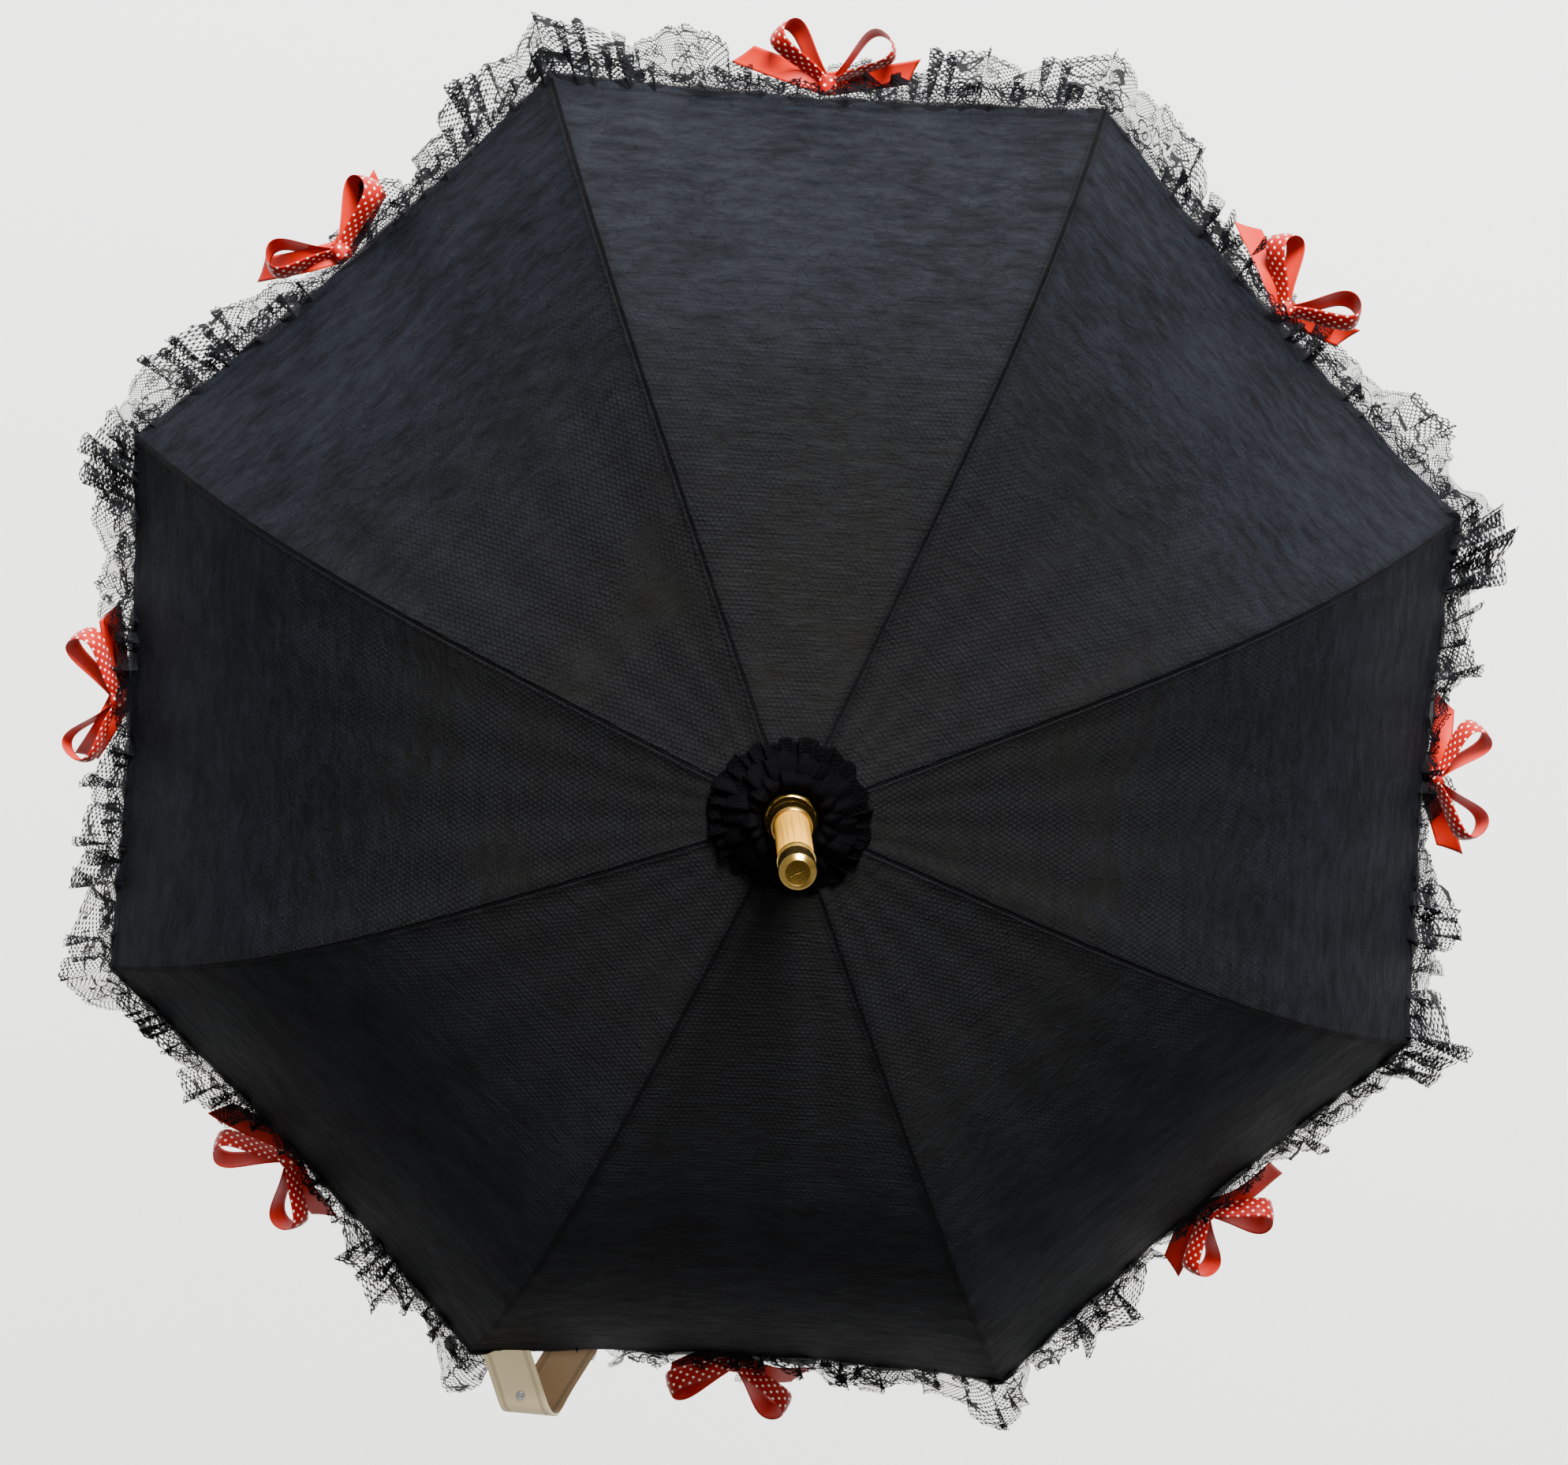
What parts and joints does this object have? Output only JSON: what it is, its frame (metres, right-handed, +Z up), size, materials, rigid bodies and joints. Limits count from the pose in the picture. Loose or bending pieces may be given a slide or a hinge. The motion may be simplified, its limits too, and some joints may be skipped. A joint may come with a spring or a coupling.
{
  "type": "lace parasol",
  "caption": "Open folding parasol with lace-covered ribbed canopy, gathered lace edging, ribbon bows, brass-capped wooden ferrule and crook handle.",
  "frame": {"origin": "middle of the straight hand grip, on the stick's axis", "axes": "+Z up along the stick to the ferrule's end; the crook opens towards +X; rib 1 stands 22.5 degrees from +X towards +Y"},
  "size_m": [0.8194, 0.8346, 0.7831],
  "materials": {
    "pale_wood": "clear varnish, fine straight grain",
    "brass": "polished, lightly scratched",
    "steel": "plain spring steel",
    "black_paint": "black enamel",
    "black_lace": "black lace",
    "navy_cloth": "black lace over dark navy cloth",
    "red_satin": "satin ribbon with small pale dots",
    "cream_felt": "stitched felt"
  },
  "bodies": {
    "stick": {"shaft": "pale_wood", "ferrule_spike": "pale_wood", "ferrule_cap": "brass", "crown_collar": "brass", "outer_rosette": "black_lace", "crown_notch": "black_paint", "crown_wire": "steel", "handle_collar": "brass", "handle_crook": "pale_wood"},
    "rib_1_body": {"rib_1": "black_paint", "canopy_gore_1": "navy_cloth", "lace_trim_1": "black_lace", "bow_1": "red_satin"},
    "stretcher_1_body": {"stretcher_1": "black_paint"},
    "rib_2_body": {"rib_2": "black_paint", "canopy_gore_2": "navy_cloth", "lace_trim_2": "black_lace", "bow_2": "red_satin"},
    "stretcher_2_body": {"stretcher_2": "black_paint"},
    "rib_3_body": {"rib_3": "black_paint", "canopy_gore_3": "navy_cloth", "lace_trim_3": "black_lace", "bow_3": "red_satin"},
    "stretcher_3_body": {"stretcher_3": "black_paint"},
    "rib_4_body": {"rib_4": "black_paint", "canopy_gore_4": "navy_cloth", "lace_trim_4": "black_lace", "bow_4": "red_satin"},
    "stretcher_4_body": {"stretcher_4": "black_paint"},
    "rib_5_body": {"rib_5": "black_paint", "canopy_gore_5": "navy_cloth", "lace_trim_5": "black_lace", "bow_5": "red_satin"},
    "stretcher_5_body": {"stretcher_5": "black_paint"},
    "rib_6_body": {"rib_6": "black_paint", "canopy_gore_6": "navy_cloth", "lace_trim_6": "black_lace", "bow_6": "red_satin", "closing_strap": "cream_felt", "strap_snap": "steel"},
    "stretcher_6_body": {"stretcher_6": "black_paint"},
    "rib_7_body": {"rib_7": "black_paint", "canopy_gore_7": "navy_cloth", "lace_trim_7": "black_lace", "bow_7": "red_satin"},
    "stretcher_7_body": {"stretcher_7": "black_paint"},
    "rib_8_body": {"rib_8": "black_paint", "canopy_gore_8": "navy_cloth", "lace_trim_8": "black_lace", "bow_8": "red_satin"},
    "stretcher_8_body": {"stretcher_8": "black_paint"},
    "runner_body": {"runner": "black_paint", "runner_wire": "steel"},
    "top_catch_body": {"top_catch_spring": "steel"},
    "bottom_catch_body": {"bottom_catch_spring": "steel"}
  },
  "joints": [
    {"name": "rib_1_fold", "type": "hinge", "parent": "stick", "child": "rib_1_body", "pos_m": [0.01109, 0.00459, 0.5685], "axis": [-0.3827, 0.9239, 0], "range_deg": [0, 66], "deforming": ["canopy_gore_1", "lace_trim_1", "canopy_gore_2", "lace_trim_2", "canopy_gore_3", "lace_trim_3", "canopy_gore_4", "lace_trim_4", "canopy_gore_5", "lace_trim_5", "canopy_gore_6", "lace_trim_6", "canopy_gore_7", "lace_trim_7", "canopy_gore_8", "lace_trim_8", "top_catch_spring", "bottom_catch_spring"]},
    {"name": "stretcher_1_fold", "type": "hinge", "parent": "rib_1_body", "child": "stretcher_1_body", "pos_m": [0.21605, 0.08949, 0.5278], "axis": [-0.3827, 0.9239, 0], "range_deg": [-132, 0]},
    {"name": "rib_2_fold", "type": "hinge", "parent": "stick", "child": "rib_2_body", "pos_m": [0.00459, 0.01109, 0.5685], "axis": [-0.9239, 0.3827, 0], "range_deg": [0, 66]},
    {"name": "stretcher_2_fold", "type": "hinge", "parent": "rib_2_body", "child": "stretcher_2_body", "pos_m": [0.08949, 0.21605, 0.5278], "axis": [-0.9239, 0.3827, 0], "range_deg": [-132, 0]},
    {"name": "rib_3_fold", "type": "hinge", "parent": "stick", "child": "rib_3_body", "pos_m": [-0.00459, 0.01109, 0.5685], "axis": [-0.9239, -0.3827, 0], "range_deg": [0, 66]},
    {"name": "stretcher_3_fold", "type": "hinge", "parent": "rib_3_body", "child": "stretcher_3_body", "pos_m": [-0.08949, 0.21605, 0.5278], "axis": [-0.9239, -0.3827, 0], "range_deg": [-132, 0]},
    {"name": "rib_4_fold", "type": "hinge", "parent": "stick", "child": "rib_4_body", "pos_m": [-0.01109, 0.00459, 0.5685], "axis": [-0.3827, -0.9239, 0], "range_deg": [0, 66]},
    {"name": "stretcher_4_fold", "type": "hinge", "parent": "rib_4_body", "child": "stretcher_4_body", "pos_m": [-0.21605, 0.08949, 0.5278], "axis": [-0.3827, -0.9239, 0], "range_deg": [-132, 0]},
    {"name": "rib_5_fold", "type": "hinge", "parent": "stick", "child": "rib_5_body", "pos_m": [-0.01109, -0.00459, 0.5685], "axis": [0.3827, -0.9239, 0], "range_deg": [0, 66]},
    {"name": "stretcher_5_fold", "type": "hinge", "parent": "rib_5_body", "child": "stretcher_5_body", "pos_m": [-0.21605, -0.08949, 0.5278], "axis": [0.3827, -0.9239, 0], "range_deg": [-132, 0]},
    {"name": "rib_6_fold", "type": "hinge", "parent": "stick", "child": "rib_6_body", "pos_m": [-0.00459, -0.01109, 0.5685], "axis": [0.9239, -0.3827, 0], "range_deg": [0, 66]},
    {"name": "stretcher_6_fold", "type": "hinge", "parent": "rib_6_body", "child": "stretcher_6_body", "pos_m": [-0.08949, -0.21605, 0.5278], "axis": [0.9239, -0.3827, 0], "range_deg": [-132, 0]},
    {"name": "rib_7_fold", "type": "hinge", "parent": "stick", "child": "rib_7_body", "pos_m": [0.00459, -0.01109, 0.5685], "axis": [0.9239, 0.3827, 0], "range_deg": [0, 66]},
    {"name": "stretcher_7_fold", "type": "hinge", "parent": "rib_7_body", "child": "stretcher_7_body", "pos_m": [0.08949, -0.21605, 0.5278], "axis": [0.9239, 0.3827, 0], "range_deg": [-132, 0]},
    {"name": "rib_8_fold", "type": "hinge", "parent": "stick", "child": "rib_8_body", "pos_m": [0.01109, -0.00459, 0.5685], "axis": [0.3827, 0.9239, 0], "range_deg": [0, 66]},
    {"name": "stretcher_8_fold", "type": "hinge", "parent": "rib_8_body", "child": "stretcher_8_body", "pos_m": [0.21605, -0.08949, 0.5278], "axis": [0.3827, 0.9239, 0], "range_deg": [-132, 0]},
    {"name": "runner_hinge", "type": "hinge", "parent": "stretcher_1_body", "child": "runner_body", "pos_m": [0.01109, 0.00459, 0.48709], "axis": [-0.3827, 0.9239, 0], "range_deg": [0, 66]},
    {"name": "top_catch_press", "type": "hinge", "parent": "stick", "child": "top_catch_body", "pos_m": [0.0038, 0, 0.40109], "axis": [0, -1, 0], "range_deg": [0, 8], "stiffness_Nm_per_rad": 0.8, "springref_deg": -3.44},
    {"name": "bottom_catch_press", "type": "hinge", "parent": "stick", "child": "bottom_catch_body", "pos_m": [0.0038, 0, 0.11204], "axis": [0, 1, 0], "range_deg": [0, 8], "stiffness_Nm_per_rad": 0.8, "springref_deg": -3.44}
  ],
  "couplings": [
    {"joint": "stretcher_1_fold", "follows": "rib_1_fold", "ratio": -2},
    {"joint": "rib_2_fold", "follows": "rib_1_fold", "ratio": 1},
    {"joint": "stretcher_2_fold", "follows": "rib_1_fold", "ratio": -2},
    {"joint": "rib_3_fold", "follows": "rib_1_fold", "ratio": 1},
    {"joint": "stretcher_3_fold", "follows": "rib_1_fold", "ratio": -2},
    {"joint": "rib_4_fold", "follows": "rib_1_fold", "ratio": 1},
    {"joint": "stretcher_4_fold", "follows": "rib_1_fold", "ratio": -2},
    {"joint": "rib_5_fold", "follows": "rib_1_fold", "ratio": 1},
    {"joint": "stretcher_5_fold", "follows": "rib_1_fold", "ratio": -2},
    {"joint": "rib_6_fold", "follows": "rib_1_fold", "ratio": 1},
    {"joint": "stretcher_6_fold", "follows": "rib_1_fold", "ratio": -2},
    {"joint": "rib_7_fold", "follows": "rib_1_fold", "ratio": 1},
    {"joint": "stretcher_7_fold", "follows": "rib_1_fold", "ratio": -2},
    {"joint": "rib_8_fold", "follows": "rib_1_fold", "ratio": 1},
    {"joint": "stretcher_8_fold", "follows": "rib_1_fold", "ratio": -2},
    {"joint": "runner_hinge", "follows": "rib_1_fold", "ratio": 1}
  ]
}
